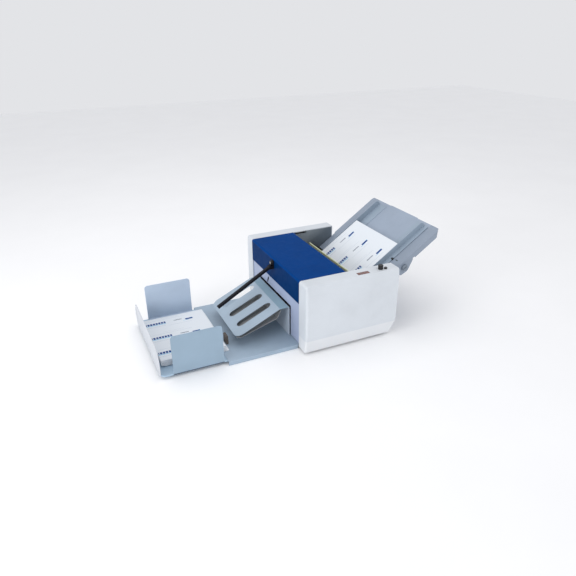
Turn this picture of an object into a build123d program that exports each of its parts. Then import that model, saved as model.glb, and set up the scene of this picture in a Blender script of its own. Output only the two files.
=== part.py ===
"""Desktop franking machine: feeder, rotary print unit and catch tray, as separate parts.

Millimetres.  +X runs from the catch tray towards the infeed tray, +Y to the far side, +Z up.
The origin is on the table surface, below the middle of the machine's overall box.
"""
from build123d import *
import math
import os

os.makedirs("parts", exist_ok=True)

# ---------------------------------------------------------------- driving dimensions
X_FRONT = -39.05       # output end of the side covers, from the origin
INNER_W = 410.0        # clear width between the two side covers
COVER_T = 55.0         # thickness of a side cover
COVER_L = 346.0        # length of a side cover
COVER_TOP = 250.0
COVER_BOTTOM = 8.0     # also the height of the feet
WALL = 3.0             # moulded cover wall
PLATE_T = 2.0          # steel frame plate
SHEET = 1.5            # folded sheet metal
GAP = 0.3              # clearance between neighbouring parts
RUN_FIT = 0.05         # radial clearance of a shaft in its bush

LID_L = 170.0          # blue top cover, front to back
LID_FRONT_Z = 168.0    # lower edge of its front face
PATH_Z = 126.0         # height at which a sheet travels through the machine

TABLE_L = 246.0
TABLE_TOP = 14.0
TRAY_TOP = 12.2        # floor of the catch tray, which slides under the table
RAMP_W = 272.0
RAMP_Y = 3.0           # the ramp sits slightly off centre
RAMP_LOW = (-193.0, 50.0)
SHELF_X = -36.0
SHELF_Z = 123.25       # mid-thickness of the ramp's level shelf
SLOT_TOP = 127.4       # upper edge of the slot that sheets leave by

TILT = 34.65           # slope of the infeed tray, degrees
SHEET_EDGE = (418.0, 284.0)    # upper edge of a full stack, from the output end
STACK_T = 18.4         # thickness of the stack on the infeed tray
FLOOR_N = -20.0        # infeed tray surface below the top of a full stack
PIVOT_S, PIVOT_N = -48.0, -41.0

PAPER_L, PAPER_W = 216.0, 279.4

DRUM_AT = (80.0, 172.0)
DRUM_R, DIE_R = 42.0, 45.8
IMPRESSION_AT = (80.0, 108.0)
IMPRESSION_R = 17.8
EXIT_AT = (24.0, 112.0)
EXIT_R = 13.8
IDLER_R = 9.0
INK_R = 14.0
FEED_R = 22.0
MODULE = 2.0
DRUM_TEETH, IMPRESSION_TEETH, MOTOR_TEETH = 46, 18, 14

HALF = INNER_W / 2
PLATE_IN = HALF + GAP                 # inner face of a frame plate
PLATE_OUT = PLATE_IN + PLATE_T
COS, SIN = math.cos(math.radians(TILT)), math.sin(math.radians(TILT))


# ---------------------------------------------------------------- placing helpers
def aft(x):
    """Row X of a point that lies x behind the output end of the covers."""
    return X_FRONT + x


def lengthwise(y):
    """Sketch plane across the width at y: local x is X, local y is Z; +extrude runs to -Y."""
    return Plane.XZ.offset(-y)


def slope_side(y=0.0):
    """Like lengthwise, in the infeed tray's own axes: local x up the slope, local y off it."""
    return Plane(origin=(aft(SHEET_EDGE[0]), y, SHEET_EDGE[1]), x_dir=(COS, 0, SIN), z_dir=(0, -1, 0))


def slope_top(n):
    """Sketch plane on the infeed tray's slope at height n off it: local x up the slope."""
    return Plane(
        origin=(aft(SHEET_EDGE[0]) - SIN * n, 0, SHEET_EDGE[1] + COS * n),
        x_dir=(COS, 0, SIN),
        z_dir=(-SIN, 0, COS),
    )


def slope_point(s, n):
    """(x behind the output end, z) of a point s up the slope and n off it."""
    return SHEET_EDGE[0] + COS * s - SIN * n, SHEET_EDGE[1] + SIN * s + COS * n


def save(builder, name):
    builder.part.label = name
    export_step(builder.part, f"parts/{name}.step")


def rod(centre, radius, y0, y1, hole=0.0):
    """Round bar or ring along Y, added to the part being built."""
    with BuildSketch(lengthwise(y1)) as section:
        with Locations((aft(centre[0]), centre[1])):
            Circle(radius)
            if hole:
                Circle(hole, mode=Mode.SUBTRACT)
    extrude(section.sketch, amount=y1 - y0)


def bore(centre, radius, y0, y1):
    """Round hole along Y through the part being built."""
    with BuildSketch(lengthwise(y1)) as section:
        with Locations((aft(centre[0]), centre[1])):
            Circle(radius)
    extrude(section.sketch, amount=y1 - y0, mode=Mode.SUBTRACT)


def box(x0, x1, y0, y1, z0, z1, mode=Mode.ADD):
    """Block between two corners, x measured from the output end."""
    with Locations((aft((x0 + x1) / 2), (y0 + y1) / 2, (z0 + z1) / 2)):
        Box(x1 - x0, y1 - y0, z1 - z0, mode=mode)


def spur_gear(centre, teeth, y0, y1, shaft_r, tooth_angle):
    """Straight-toothed gear with one tooth pointing along tooth_angle in the XZ plane."""
    pitch_r = MODULE * teeth / 2
    root_r, tip_r = pitch_r - 1.25 * MODULE, pitch_r + 0.85 * MODULE
    with BuildPart() as gear:
        with BuildSketch(lengthwise(y1)):
            with Locations((aft(centre[0]), centre[1])):
                Circle(root_r)
                Circle(shaft_r, mode=Mode.SUBTRACT)
                with PolarLocations(0, teeth, start_angle=tooth_angle):
                    Polygon(
                        (root_r - 1, 2.1), (tip_r, 0.62), (tip_r, -0.62), (root_r - 1, -2.1),
                        align=None,
                    )
        extrude(amount=y1 - y0)
        if pitch_r > 30:
            with BuildSketch(lengthwise(y1)) as windows:
                with Locations((aft(centre[0]), centre[1])):
                    with PolarLocations((shaft_r + root_r) / 2, 5):
                        Circle((root_r - shaft_r) / 2 - 5)
            extrude(windows.sketch, amount=y1 - y0, mode=Mode.SUBTRACT)
    return gear


def belt_loop(a, ra, b, rb, y0, y1, thickness):
    """Flat belt around two pulleys of radii ra and rb centred on a and b."""
    with BuildPart() as belt:
        with BuildSketch(lengthwise(y1)):
            for extra, mode in ((thickness, Mode.ADD), (0.0, Mode.SUBTRACT)):
                with BuildSketch(mode=Mode.PRIVATE) as discs:
                    with Locations((aft(a[0]), a[1])):
                        Circle(ra + extra)
                    with Locations((aft(b[0]), b[1])):
                        Circle(rb + extra)
                    make_hull(discs.sketch.edges())
                add(discs.sketch, mode=mode)
        extrude(amount=y1 - y0)
    return belt


# ---------------------------------------------------------------- frame
REAR_CORNER = (326.0, 52.0)     # the covers' lower rear corner is cut from here to the rear face


def cover_outline():
    return (
        (aft(0), COVER_BOTTOM), (aft(REAR_CORNER[0]), COVER_BOTTOM),
        (aft(COVER_L), REAR_CORNER[1]), (aft(COVER_L), COVER_TOP), (aft(0), COVER_TOP),
    )


INK_ANGLE = 60.0
INK_DIST = DIE_R + GAP + INK_R
INK_AT = (
    DRUM_AT[0] + INK_DIST * math.cos(math.radians(INK_ANGLE)),
    DRUM_AT[1] + INK_DIST * math.sin(math.radians(INK_ANGLE)),
)
IDLER_AT = (EXIT_AT[0], PATH_Z + 0.2 + IDLER_R)
FEED_AT = slope_point(-200.0, FLOOR_N + 1.3 - FEED_R)
HINGE_AT = (176.0, 242.5)
HINGE_R = 3.0
SHAFTS = (                      # centre, shaft radius
    (DRUM_AT, 6.0), (IMPRESSION_AT, 6.0), (EXIT_AT, 5.0),
    (IDLER_AT, 3.0), (INK_AT, 4.0), (FEED_AT, 6.0),
)
BUSH_WALL = 3.0
LID_SLOT = (181.0, 228.0)       # opening in the frame plates beside the lid's rear edge
MOTOR_ANGLE = -90 + 31 * 360 / DRUM_TEETH
MOTOR_DIST = MODULE * (DRUM_TEETH + MOTOR_TEETH) / 2
MOTOR_AT = (
    DRUM_AT[0] + MOTOR_DIST * math.cos(math.radians(MOTOR_ANGLE)),
    DRUM_AT[1] + MOTOR_DIST * math.sin(math.radians(MOTOR_ANGLE)),
)


def frame_plate(sign):
    """Steel side plate that carries every shaft; sign -1 is the near side."""
    middle = sign * (PLATE_IN + PLATE_OUT) / 2
    with BuildPart() as plate:
        with BuildSketch(lengthwise(middle)):
            Polygon(*cover_outline(), align=None)
            offset(amount=-(WALL + 2 * GAP))
            for centre, radius in SHAFTS:
                with Locations((aft(centre[0]), centre[1])):
                    Circle(radius + BUSH_WALL, mode=Mode.SUBTRACT)
            with Locations((aft(sum(LID_SLOT) / 2), COVER_TOP)):
                Rectangle(LID_SLOT[1] - LID_SLOT[0], 20, mode=Mode.SUBTRACT)
            if sign > 0:
                with Locations((aft(MOTOR_AT[0]), MOTOR_AT[1])):
                    Circle(10, mode=Mode.SUBTRACT)
        extrude(amount=PLATE_T / 2, both=True)
    return plate


near_frame_plate = frame_plate(-1)
save(near_frame_plate, "near_frame_plate")
far_frame_plate = frame_plate(1)
save(far_frame_plate, "far_frame_plate")

with BuildPart() as base_plate:
    box(10, 318, -HALF, HALF, COVER_BOTTOM, COVER_BOTTOM + 2)
    with BuildSketch(Plane.XY.offset(COVER_BOTTOM)) as vents:
        with Locations((aft(180), 0)):
            with GridLocations(16, 60, 9, 4):
                SlotOverall(44, 6, rotation=90)
    extrude(vents.sketch, amount=2, mode=Mode.SUBTRACT)
save(base_plate, "base_plate")

TIE_RODS = ((30, 60), (150, 50), (300, 60), (150, 225))
with BuildPart() as tie_rods:
    for place in TIE_RODS:
        rod(place, 5, -PLATE_IN + 0.05, PLATE_IN - 0.05)
save(tie_rods, "tie_rods")

with BuildPart() as frame_screws:
    for place in TIE_RODS:
        for side in (-1, 1):
            edge = side * PLATE_OUT
            rod(place, 7, min(edge, edge + side * 4), max(edge, edge + side * 4), hole=2.5)
save(frame_screws, "frame_screws")

with BuildPart() as shaft_bushes:
    for centre, radius in SHAFTS:
        for side in (-1, 1):
            middle = side * (PLATE_IN + PLATE_OUT) / 2
            rod(centre, radius + BUSH_WALL, middle - 1, middle + 1, hole=radius + RUN_FIT)
save(shaft_bushes, "shaft_bushes")

with BuildPart() as hinge_pins:
    for side in (-1, 1):
        inner, outer = side * (HALF - 7), side * PLATE_IN
        rod(HINGE_AT, HINGE_R, min(inner, outer), max(inner, outer))
save(hinge_pins, "hinge_pins")

# ---------------------------------------------------------------- side covers
KNOB_AT = (285.5, -235.0)
KNOB_SHAFT_R = 3.0
BUTTON_AT = (303.0, -238.5)
BUTTON_R = 5.5
WINDOW_AT = (216.8, -238.0)
WINDOW_SIZE = (44.0, 17.0)
INLET_AT = (232.0, 92.0)        # y, z on the far cover's rear face
INLET_SIZE = (32.0, 26.0)
ROCKER_AT = (232.0, 132.0)
ROCKER_SIZE = (14.0, 22.0)


def cover_block(sign, inset):
    """Body bounded by the cover's outline, every wall moved inwards by inset."""
    outer = HALF + COVER_T
    with BuildPart() as block:
        with BuildSketch(lengthwise(0)):
            Polygon(*cover_outline(), align=None)
            if inset:
                offset(amount=-inset, kind=Kind.INTERSECTION)
        extrude(amount=-sign * outer)
        with BuildSketch(Plane.YZ.offset(aft(-1))) as section:
            Polygon(
                (sign * (HALF - inset), COVER_BOTTOM), (sign * (outer - 8), COVER_BOTTOM),
                (sign * outer, 64), (sign * outer, 218), (sign * (outer - 4), COVER_TOP),
                (sign * (HALF - inset), COVER_TOP), align=None,
            )
            top_corner = section.vertices().filter_by(lambda v: abs(v.X) > outer - 9 and v.Y > 240)
            fillet(top_corner, 7)
            fillet(section.vertices().filter_by(lambda v: 60 < v.Y < 70), 12)
            if inset:
                offset(amount=-inset, kind=Kind.INTERSECTION)
        extrude(section.sketch, amount=COVER_L + 2, mode=Mode.INTERSECT)
    return block


def side_cover(sign):
    """Hollow moulded cover, open towards the frame, with bevelled bands above and below."""
    cavity = cover_block(sign, WALL)
    with BuildPart() as cover:
        add(cover_block(sign, 0).part)
        front_upright = cover.edges().filter_by(
            lambda e: abs(e.center().X - aft(0)) < 0.5 and abs(e.center().Y) > HALF + 40
            and e.bounding_box().size.Z > 20
        )
        fillet(front_upright, 8)
        add(cavity.part, mode=Mode.SUBTRACT)
    return cover


near_side_cover = side_cover(-1)
with near_side_cover:
    with BuildSketch(Plane.XY.offset(COVER_TOP + 1)) as holes:
        with Locations((aft(KNOB_AT[0]), KNOB_AT[1])):
            Circle(KNOB_SHAFT_R + GAP)
        with Locations((aft(BUTTON_AT[0]), BUTTON_AT[1])):
            Circle(BUTTON_R + GAP)
        with Locations((aft(WINDOW_AT[0]), WINDOW_AT[1])):
            RectangleRounded(*WINDOW_SIZE, 1.5)
    extrude(holes.sketch, amount=-6, mode=Mode.SUBTRACT)
save(near_side_cover, "near_side_cover")

far_side_cover = side_cover(1)
with far_side_cover:
    with BuildSketch(Plane.YZ.offset(aft(COVER_L + 1))) as holes:
        with Locations(INLET_AT):
            Rectangle(INLET_SIZE[0] - 4, INLET_SIZE[1] - 4)
        with Locations(ROCKER_AT):
            Rectangle(*ROCKER_SIZE)
    extrude(holes.sketch, amount=-6, mode=Mode.SUBTRACT)
save(far_side_cover, "far_side_cover")

with BuildPart() as rubber_feet:
    for x in (30, 285):
        for y in (-228, 228):
            with BuildSketch(Plane.XY):
                with Locations((aft(x), y)):
                    Circle(11)
            extrude(amount=COVER_BOTTOM, taper=-6)
save(rubber_feet, "rubber_feet")

with BuildPart() as front_panel:
    box(3.5, 5.5, -HALF + 0.2, HALF - 0.2, 16, LID_FRONT_Z - 3)
    opening_edge = RAMP_W / 2 + 0.9
    box(3, 6, RAMP_Y - opening_edge, RAMP_Y + opening_edge, 15, SLOT_TOP, mode=Mode.SUBTRACT)
    with BuildSketch(Plane.YZ.offset(aft(3))) as gauge_slot:
        with Locations(Location((63.5, 142, 0), 118)):
            SlotOverall(30, 9)
    extrude(gauge_slot.sketch, amount=3, mode=Mode.SUBTRACT)
save(front_panel, "front_panel")

with BuildPart() as rear_panel:
    with BuildSketch(lengthwise(0)):
        with BuildLine():
            FilletPolyline((aft(337), 140), (aft(337), 52), (aft(320), 14), radius=4)
        trace(line_width=SHEET)
    extrude(amount=HALF - 0.2, both=True)
    with BuildSketch(Plane.YZ.offset(aft(334))) as louvres:
        with Locations((0, 97)):
            with GridLocations(60, 12, 4, 5):
                SlotOverall(44, 5)
    extrude(louvres.sketch, amount=8, mode=Mode.SUBTRACT)
save(rear_panel, "rear_panel")

# ---------------------------------------------------------------- blue lid with hold-down arm
ARM_Y = 4.0
ARM_W = 11.0
ARM_PIVOT = (-13.0, 218.5)
ARM_TIP = (-210.0, 103.0)
ARM_T = 9.0
THUMB_AT = (ARM_Y, 234.0)

with BuildPart() as top_cover:
    with BuildSketch(lengthwise(0)):
        with BuildLine():
            FilletPolyline(
                (aft(1), LID_FRONT_Z), (aft(1), COVER_TOP - 1), (aft(LID_L), COVER_TOP - 1), radius=5
            )
        trace(line_width=2)
    extrude(amount=HALF - 0.8, both=True)
    for side in (-1, 1):
        with BuildSketch(lengthwise(side * (HALF - 1.8))):
            Polygon(
                (aft(1.5), LID_FRONT_Z + 10), (aft(1.5), COVER_TOP - 4), (aft(5), COVER_TOP - 1),
                (aft(170), COVER_TOP - 1), (aft(182), 246), (aft(182), 236), (aft(168), 234),
                (aft(10), 236), (aft(6), LID_FRONT_Z + 10), align=None,
            )
        extrude(amount=1, both=True)
        bore(HINGE_AT, HINGE_R + RUN_FIT, side * (HALF - 1.8) - 2, side * (HALF - 1.8) + 2)
    with BuildSketch(Plane.YZ.offset(aft(-1))) as screw_hole:
        with Locations(THUMB_AT):
            Circle(2.8)
    extrude(screw_hole.sketch, amount=5, mode=Mode.SUBTRACT)
save(top_cover, "top_cover")

with BuildPart() as arm_bracket:
    box(-2.5, 0, ARM_Y - 9, ARM_Y + 9, 213, 242)
    for side in (-1, 1):
        middle = ARM_Y + side * 8
        with BuildSketch(lengthwise(middle)):
            Polygon(
                (aft(0), 213), (aft(0), 226), (aft(-15), 224), (aft(-18.5), 221),
                (aft(-18.5), 215), (aft(-15), 212.5), align=None,
            )
        extrude(amount=1, both=True)
    rod(ARM_PIVOT, 2.5, ARM_Y - 10, ARM_Y + 10)
    with BuildSketch(Plane.YZ.offset(aft(-6))) as screw_hole:
        with Locations(THUMB_AT):
            Circle(2.55)
    extrude(screw_hole.sketch, amount=8, mode=Mode.SUBTRACT)
save(arm_bracket, "arm_bracket")

with BuildPart() as hold_down_arm:
    with BuildSketch(lengthwise(ARM_Y)):
        with BuildLine():
            Line((aft(ARM_TIP[0]), ARM_TIP[1]), (aft(ARM_PIVOT[0]), ARM_PIVOT[1]))
        trace(line_width=ARM_T)
    extrude(amount=ARM_W / 2, both=True)
    rod(ARM_PIVOT, 6.5, ARM_Y - 6.7, ARM_Y + 6.7)
    bore(ARM_PIVOT, 2.5 + RUN_FIT, ARM_Y - 9, ARM_Y + 9)
save(hold_down_arm, "hold_down_arm")

with BuildPart() as thumb_knob:
    with BuildSketch(Plane.YZ.offset(aft(-2.8))):
        with Locations(THUMB_AT):
            Circle(7)
            with PolarLocations(7, 14):
                Circle(0.9)
    extrude(amount=-8)
    with BuildSketch(Plane.YZ.offset(aft(-4))) as stud:
        with Locations(THUMB_AT):
            Circle(2.5)
    extrude(stud.sketch, amount=10)
save(thumb_knob, "thumb_knob")

# ---------------------------------------------------------------- controls
with BuildPart() as display_window:
    with BuildSketch(Plane.XY.offset(COVER_TOP - WALL)):
        with Locations((aft(WINDOW_AT[0]), WINDOW_AT[1])):
            RectangleRounded(WINDOW_SIZE[0] - 0.2, WINDOW_SIZE[1] - 0.2, 1.5)
    extrude(amount=WALL + 0.3)
save(display_window, "display_window")

with BuildPart() as control_board:
    box(190, 320, -252, -218, 226, 227.6)
    box(196, 236, -246, -232, 227.6, 246.5)
    for x in (206, 252, 262):
        box(x, x + 6, -230, -222, 227.6, 234)
    box(BUTTON_AT[0] - 5, BUTTON_AT[0] + 5, BUTTON_AT[1] - 5, BUTTON_AT[1] + 5, 227.6, 232.4)
    with BuildSketch(Plane.XY.offset(227.6)) as speed_control:
        with Locations((aft(KNOB_AT[0]), KNOB_AT[1])):
            Circle(8)
            Circle(KNOB_SHAFT_R + RUN_FIT, mode=Mode.SUBTRACT)
    extrude(speed_control.sketch, amount=14)
save(control_board, "control_board")

with BuildPart() as speed_knob:
    with BuildSketch(Plane.XY.offset(COVER_TOP + GAP)):
        with Locations((aft(KNOB_AT[0]), KNOB_AT[1])):
            Circle(8.5)
            with PolarLocations(8.7, 18):
                Circle(0.9, mode=Mode.SUBTRACT)
    extrude(amount=14)
    with BuildSketch(Plane.XY.offset(COVER_TOP + GAP + 14)) as crown:
        with Locations((aft(KNOB_AT[0]), KNOB_AT[1])):
            Circle(7.4)
    extrude(crown.sketch, amount=0.6)
    with BuildSketch(Plane.XY.offset(230)) as shaft:
        with Locations((aft(KNOB_AT[0]), KNOB_AT[1])):
            Circle(KNOB_SHAFT_R)
    extrude(shaft.sketch, amount=24)
save(speed_knob, "speed_knob")

with BuildPart() as push_button:
    with BuildSketch(Plane.XY.offset(COVER_TOP - 4)):
        with Locations((aft(BUTTON_AT[0]), BUTTON_AT[1])):
            Circle(BUTTON_R)
    extrude(amount=9)
    fillet(push_button.edges().group_by(Axis.Z)[-1], 1.2)
    with BuildSketch(Plane.XY.offset(235)) as stem:
        with Locations((aft(BUTTON_AT[0]), BUTTON_AT[1])):
            Circle(2.5)
    extrude(stem.sketch, amount=12)
save(push_button, "push_button")

with BuildPart() as power_inlet:
    y0, z0 = INLET_AT
    box(COVER_L - 24, COVER_L - WALL - 0.05, y0 - 16, y0 + 16, z0 - 13, z0 + 13)
    box(COVER_L - 4, COVER_L + 0.5, y0 - 13.8, y0 + 13.8, z0 - 10.8, z0 + 10.8)
    box(COVER_L - 18, COVER_L + 1, y0 - 11.5, y0 + 11.5, z0 - 8, z0 + 8, mode=Mode.SUBTRACT)
    for dy, dz in ((-7, -2), (0, 2), (7, -2)):
        box(COVER_L - 19, COVER_L - 7, y0 + dy - 1, y0 + dy + 1, z0 + dz - 2, z0 + dz + 2)
save(power_inlet, "power_inlet")

ROCKER_PIVOT_X = COVER_L - 6
with BuildPart() as switch_housing:
    y0, z0 = ROCKER_AT
    box(COVER_L - 22, COVER_L - WALL - 0.05, y0 - 9, y0 + 9, z0 - 13, z0 + 13)
    box(COVER_L - 18, COVER_L, y0 - 5.5, y0 + 5.5, z0 - 10, z0 + 10, mode=Mode.SUBTRACT)
    rod((ROCKER_PIVOT_X, z0), 1.5, y0 - 6, y0 + 6)
save(switch_housing, "switch_housing")

with BuildPart() as power_rocker:
    y0, z0 = ROCKER_AT
    with BuildSketch(lengthwise(y0)):
        Polygon(
            (aft(COVER_L - 10), z0 - 6), (aft(COVER_L - 2), z0 - 9), (aft(COVER_L + 2.4), z0 - 9),
            (aft(COVER_L), z0), (aft(COVER_L + 2.4), z0 + 9), (aft(COVER_L - 2), z0 + 9),
            (aft(COVER_L - 10), z0 + 6), align=None,
        )
    extrude(amount=5.2, both=True)
    bore((ROCKER_PIVOT_X, z0), 1.5 + RUN_FIT, y0 - 8, y0 + 8)
save(power_rocker, "power_rocker")

with BuildPart() as power_supply:
    box(162, 262, 60, 180, COVER_BOTTOM + 2.1, COVER_BOTTOM + 42)
    with BuildSketch(Plane.XY.offset(COVER_BOTTOM + 42)) as vents:
        with Locations((aft(212), 120)):
            with GridLocations(12, 40, 7, 2):
                SlotOverall(30, 5, rotation=90)
    extrude(vents.sketch, amount=-4, mode=Mode.SUBTRACT)
save(power_supply, "power_supply")

# ---------------------------------------------------------------- print unit
GEAR_Y = (PLATE_OUT + 2.0, PLATE_OUT + 9.0)
EXIT_BELT_Y = (PLATE_OUT + 12.0, PLATE_OUT + 18.0)
FEED_BELT_Y = (PLATE_OUT + 22.0, PLATE_OUT + 28.0)
SHAFT_END = FEED_BELT_Y[1] + 3.0
EXIT_PULLEYS = (15.5, 12.0)     # on the impression shaft, on the exit shaft
FEED_PULLEYS = (17.0, 21.0)     # on the impression shaft, on the feed shaft
BELT_T = 1.4

with BuildPart() as drum_shaft:
    rod(DRUM_AT, 6, -PLATE_OUT - 3, GEAR_Y[1] + 3)
save(drum_shaft, "drum_shaft")

with BuildPart() as print_drum:
    rod(DRUM_AT, DRUM_R, -60, 60, hole=DRUM_R - 4)
    for y in (-60, 54):
        rod(DRUM_AT, DRUM_R - 2, y, y + 6, hole=6)
    rod(DRUM_AT, 11, -60, 60, hole=6)
save(print_drum, "print_drum")

with BuildPart() as die_plate:
    with BuildSketch(lengthwise(40)):
        with Locations((aft(DRUM_AT[0]), DRUM_AT[1])):
            Circle(DIE_R)
            Circle(DRUM_R, mode=Mode.SUBTRACT)
            Polygon((0, 0), (90, 60), (90, -60), align=None, mode=Mode.INTERSECT)
    extrude(amount=80)
save(die_plate, "die_plate")

drum_gear = spur_gear(DRUM_AT, DRUM_TEETH, *GEAR_Y, 6, -90)
save(drum_gear, "drum_gear")

with BuildPart() as impression_shaft:
    rod(IMPRESSION_AT, 6, -PLATE_OUT - 3, SHAFT_END)
    rod(IMPRESSION_AT, EXIT_PULLEYS[0], *EXIT_BELT_Y)
    rod(IMPRESSION_AT, FEED_PULLEYS[0], *FEED_BELT_Y)
save(impression_shaft, "impression_shaft")

with BuildPart() as impression_roller:
    rod(IMPRESSION_AT, IMPRESSION_R, -70, 70, hole=6)
save(impression_roller, "impression_roller")

half_tooth = 180 / IMPRESSION_TEETH
impression_gear = spur_gear(IMPRESSION_AT, IMPRESSION_TEETH, *GEAR_Y, 6, 90 + half_tooth)
save(impression_gear, "impression_gear")

half_tooth = 180 / MOTOR_TEETH
motor_pinion = spur_gear(MOTOR_AT, MOTOR_TEETH, *GEAR_Y, 4, MOTOR_ANGLE + 180 + half_tooth)
with motor_pinion:
    rod(MOTOR_AT, 4, PLATE_IN - 12, GEAR_Y[1])
save(motor_pinion, "motor_pinion")

with BuildPart() as drive_motor:
    rod(MOTOR_AT, 22, PLATE_IN - 72, PLATE_IN - 4)
    rod(MOTOR_AT, 9.5, PLATE_IN - 4, PLATE_OUT)
    fillet(drive_motor.edges().group_by(Axis.Y)[0], 3)
    box(
        MOTOR_AT[0] - 15, MOTOR_AT[0] + 22, PLATE_IN - 4, PLATE_IN - 0.05,
        MOTOR_AT[1] - 26, MOTOR_AT[1] + 26,
    )
    bore(MOTOR_AT, 4 + RUN_FIT, PLATE_IN - 13, PLATE_OUT + 1)
save(drive_motor, "drive_motor")

with BuildPart() as ink_roller:
    rod(INK_AT, INK_R, -50, 50)
    rod(INK_AT, 4, -PLATE_OUT - 2, PLATE_OUT - 0.5)
save(ink_roller, "ink_roller")

WHEELS = (-100, 0, 100)
with BuildPart() as exit_rollers:
    for y in WHEELS:
        rod(EXIT_AT, EXIT_R, y - 9, y + 9, hole=5)
save(exit_rollers, "exit_rollers")

with BuildPart() as exit_shaft:
    rod(EXIT_AT, 5, -PLATE_OUT - 3, EXIT_BELT_Y[1] + 2)
    rod(EXIT_AT, EXIT_PULLEYS[1], *EXIT_BELT_Y)
save(exit_shaft, "exit_shaft")

with BuildPart() as exit_idlers:
    rod(IDLER_AT, 3, -PLATE_OUT - 2, PLATE_OUT - 0.5)
    for y in WHEELS:
        rod(IDLER_AT, IDLER_R, y - 7, y + 7)
save(exit_idlers, "exit_idlers")

belt_gap = 0.1
exit_belt = belt_loop(
    IMPRESSION_AT, EXIT_PULLEYS[0] + belt_gap, EXIT_AT, EXIT_PULLEYS[1] + belt_gap,
    *EXIT_BELT_Y, BELT_T,
)
save(exit_belt, "exit_belt")

feed_belt = belt_loop(
    IMPRESSION_AT, FEED_PULLEYS[0] + belt_gap, FEED_AT, FEED_PULLEYS[1] + belt_gap,
    *FEED_BELT_Y, BELT_T,
)
save(feed_belt, "feed_belt")

# ---------------------------------------------------------------- sheet feeder
with BuildPart() as feed_roller:
    for y in (-70, 0, 70):
        rod(FEED_AT, FEED_R, y - 14, y + 14, hole=6)
save(feed_roller, "feed_roller")

with BuildPart() as feed_shaft:
    rod(FEED_AT, 6, -PLATE_OUT - 3, SHAFT_END)
    rod(FEED_AT, FEED_PULLEYS[1], *FEED_BELT_Y)
save(feed_shaft, "feed_shaft")

DECK_TOP = PATH_Z - 0.6
deck_start = slope_point(-227, FLOOR_N - 1.5)
with BuildPart() as feed_deck:
    with BuildSketch(lengthwise(0)):
        with BuildLine():
            FilletPolyline(
                (aft(deck_start[0]), deck_start[1]), (aft(222), DECK_TOP - SHEET / 2),
                (aft(104), DECK_TOP - SHEET / 2), radius=20,
            )
        trace(line_width=SHEET)
    extrude(amount=HALF - 0.2, both=True)
    box(36, 56, -HALF + 0.2, HALF - 0.2, DECK_TOP - SHEET, DECK_TOP)
save(feed_deck, "feed_deck")

BRIDGE_X = (184.3, 187.7)
BRIDGE_END = 88.0               # it stops short of the far frame plate
with BuildPart() as feed_bridge:
    with BuildSketch(lengthwise(-HALF + 0.2)):
        with Locations((aft(sum(BRIDGE_X) / 2), 241)):
            RectangleRounded(BRIDGE_X[1] - BRIDGE_X[0], 12, 1.2)
    extrude(amount=-(HALF - 0.2 + BRIDGE_END))
save(feed_bridge, "feed_bridge")

with BuildPart() as separator_holder:
    with BuildSketch(slope_side()):
        Polygon(
            (-240, 8), (-222, 8), (-222, 24), (-232, 34), (-248, 34), (-248, 22), align=None
        )
    extrude(amount=34, both=True)
    with BuildSketch(slope_side()):
        with Locations((-238, 26)):
            Rectangle(14, 12)
    extrude(amount=HALF - 0.2, both=True)
save(separator_holder, "separator_holder")

with BuildPart() as separator_pad:
    with BuildSketch(slope_side()):
        Polygon((-236, -16), (-221, -13), (-222, 7.9), (-238, 7.9), align=None)
    extrude(amount=28, both=True)
save(separator_pad, "separator_pad")

# ---------------------------------------------------------------- outfeed table and ramp
TABLE_HALF = HALF - 2.0
with BuildPart() as outfeed_table:
    box(-TABLE_L, 36, -TABLE_HALF, TABLE_HALF, TABLE_TOP - SHEET, TABLE_TOP)
    for side in (-1, 1):
        outer, inner = side * TABLE_HALF, side * (TABLE_HALF - SHEET)
        box(-TABLE_L, -1, min(outer, inner), max(outer, inner), 0, TABLE_TOP)
    corners = outfeed_table.edges().filter_by(Axis.X).group_by(Axis.Z)[-1]
    fillet(corners.filter_by(lambda e: abs(e.center().Y) > TABLE_HALF - 0.5), 1.2)
save(outfeed_table, "outfeed_table")

RAMP_SLOPE = (SHELF_Z - RAMP_LOW[1]) / (SHELF_X - RAMP_LOW[0])


def ramp_z(x):
    return SHELF_Z + (x - SHELF_X) * RAMP_SLOPE


with BuildPart() as exit_ramp:
    with BuildSketch(lengthwise(RAMP_Y)):
        with BuildLine():
            FilletPolyline(
                (aft(-1.6), TABLE_TOP + 0.2), (aft(-1.6), SHELF_Z), (aft(SHELF_X), SHELF_Z),
                (aft(RAMP_LOW[0]), RAMP_LOW[1]), radius=2,
            )
        trace(line_width=SHEET)
    extrude(amount=RAMP_W / 2, both=True)
    lower_corners = exit_ramp.edges().filter_by(
        lambda e: e.center().X < aft(RAMP_LOW[0] + 3) and e.length < 2 * SHEET
        and abs(abs(e.center().Y - RAMP_Y) - RAMP_W / 2) < 0.1
    )
    fillet(lower_corners, 26)
    with BuildSketch(Plane.XY.offset(0)) as slots:
        with Locations((aft(-108), RAMP_Y)):
            with GridLocations(1, 76, 1, 3):
                SlotOverall(123, 31)
    extrude(slots.sketch, amount=122, mode=Mode.SUBTRACT)
save(exit_ramp, "exit_ramp")

with BuildPart() as ramp_brace:
    with BuildSketch(lengthwise(0)):
        with BuildLine():
            FilletPolyline(
                (aft(-189), ramp_z(-189) - 3.2), (aft(-176), 46), (aft(-43), 87), (aft(-31), 112),
                (aft(-31), SHELF_Z - 1.2), radius=3,
            )
        trace(line_width=SHEET)
    extrude(amount=128)
    with BuildSketch(lengthwise(0)) as far_half:
        with BuildLine():
            FilletPolyline(
                (aft(-189), ramp_z(-189) - 3.2), (aft(-176), 46), (aft(-43), 87), (aft(-31), 112),
                (aft(-31), SHELF_Z - 1.2), radius=3,
            )
        trace(line_width=SHEET)
    extrude(far_half.sketch, amount=-88)
save(ramp_brace, "ramp_brace")

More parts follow.
